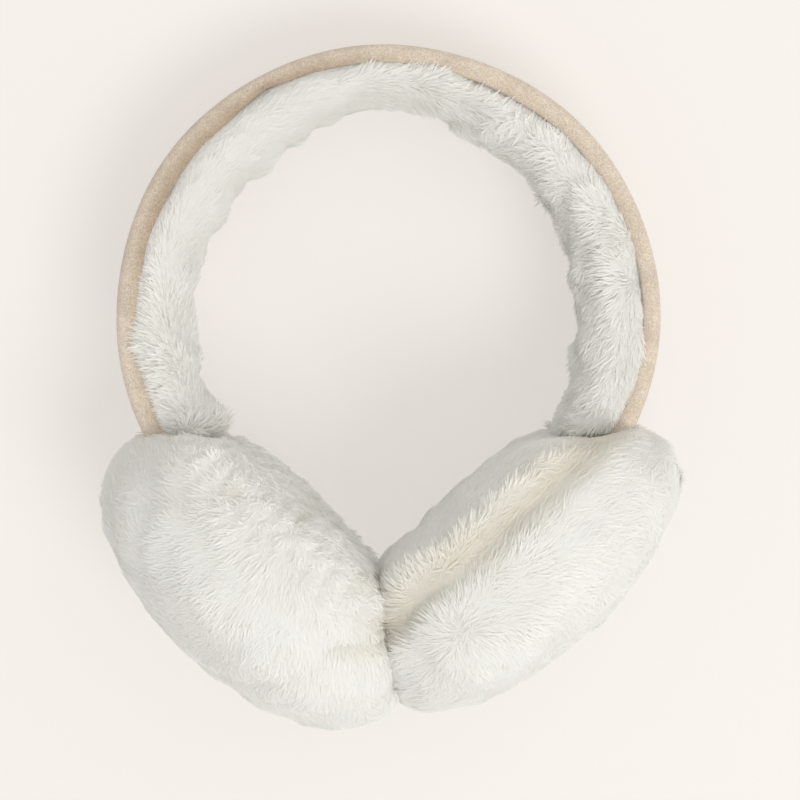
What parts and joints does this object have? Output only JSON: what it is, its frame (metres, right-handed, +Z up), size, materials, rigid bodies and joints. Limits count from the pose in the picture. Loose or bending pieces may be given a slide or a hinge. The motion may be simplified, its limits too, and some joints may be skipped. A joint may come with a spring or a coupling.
{
  "type": "fur earmuffs",
  "caption": "Earmuffs with a curved suede headband lined with deep white fur and a round domed fur pad at each end, lying flat with the pads pressed together in a V.",
  "frame": {"origin": "on the table under the middle of the whole, which lies as it rests", "axes": "+X across the pair towards the pad at the right of the picture, +Y from the pads towards the crown of the headband, +Z up from the table"},
  "size_m": [0.1622, 0.1874, 0.0976],
  "materials": {
    "suede": "matt napped suede",
    "band_fur": "deep soft fur, brushed in tufts",
    "pad_fur": "deep soft fur, combed round the dome"
  },
  "bodies": {
    "root": {"headband_cover": "suede", "headband_fur": "band_fur", "left_pad_outer_fur": "pad_fur", "left_pad_ear_fur": "pad_fur", "right_pad_outer_fur": "pad_fur", "right_pad_ear_fur": "pad_fur"}
  },
  "joints": []
}
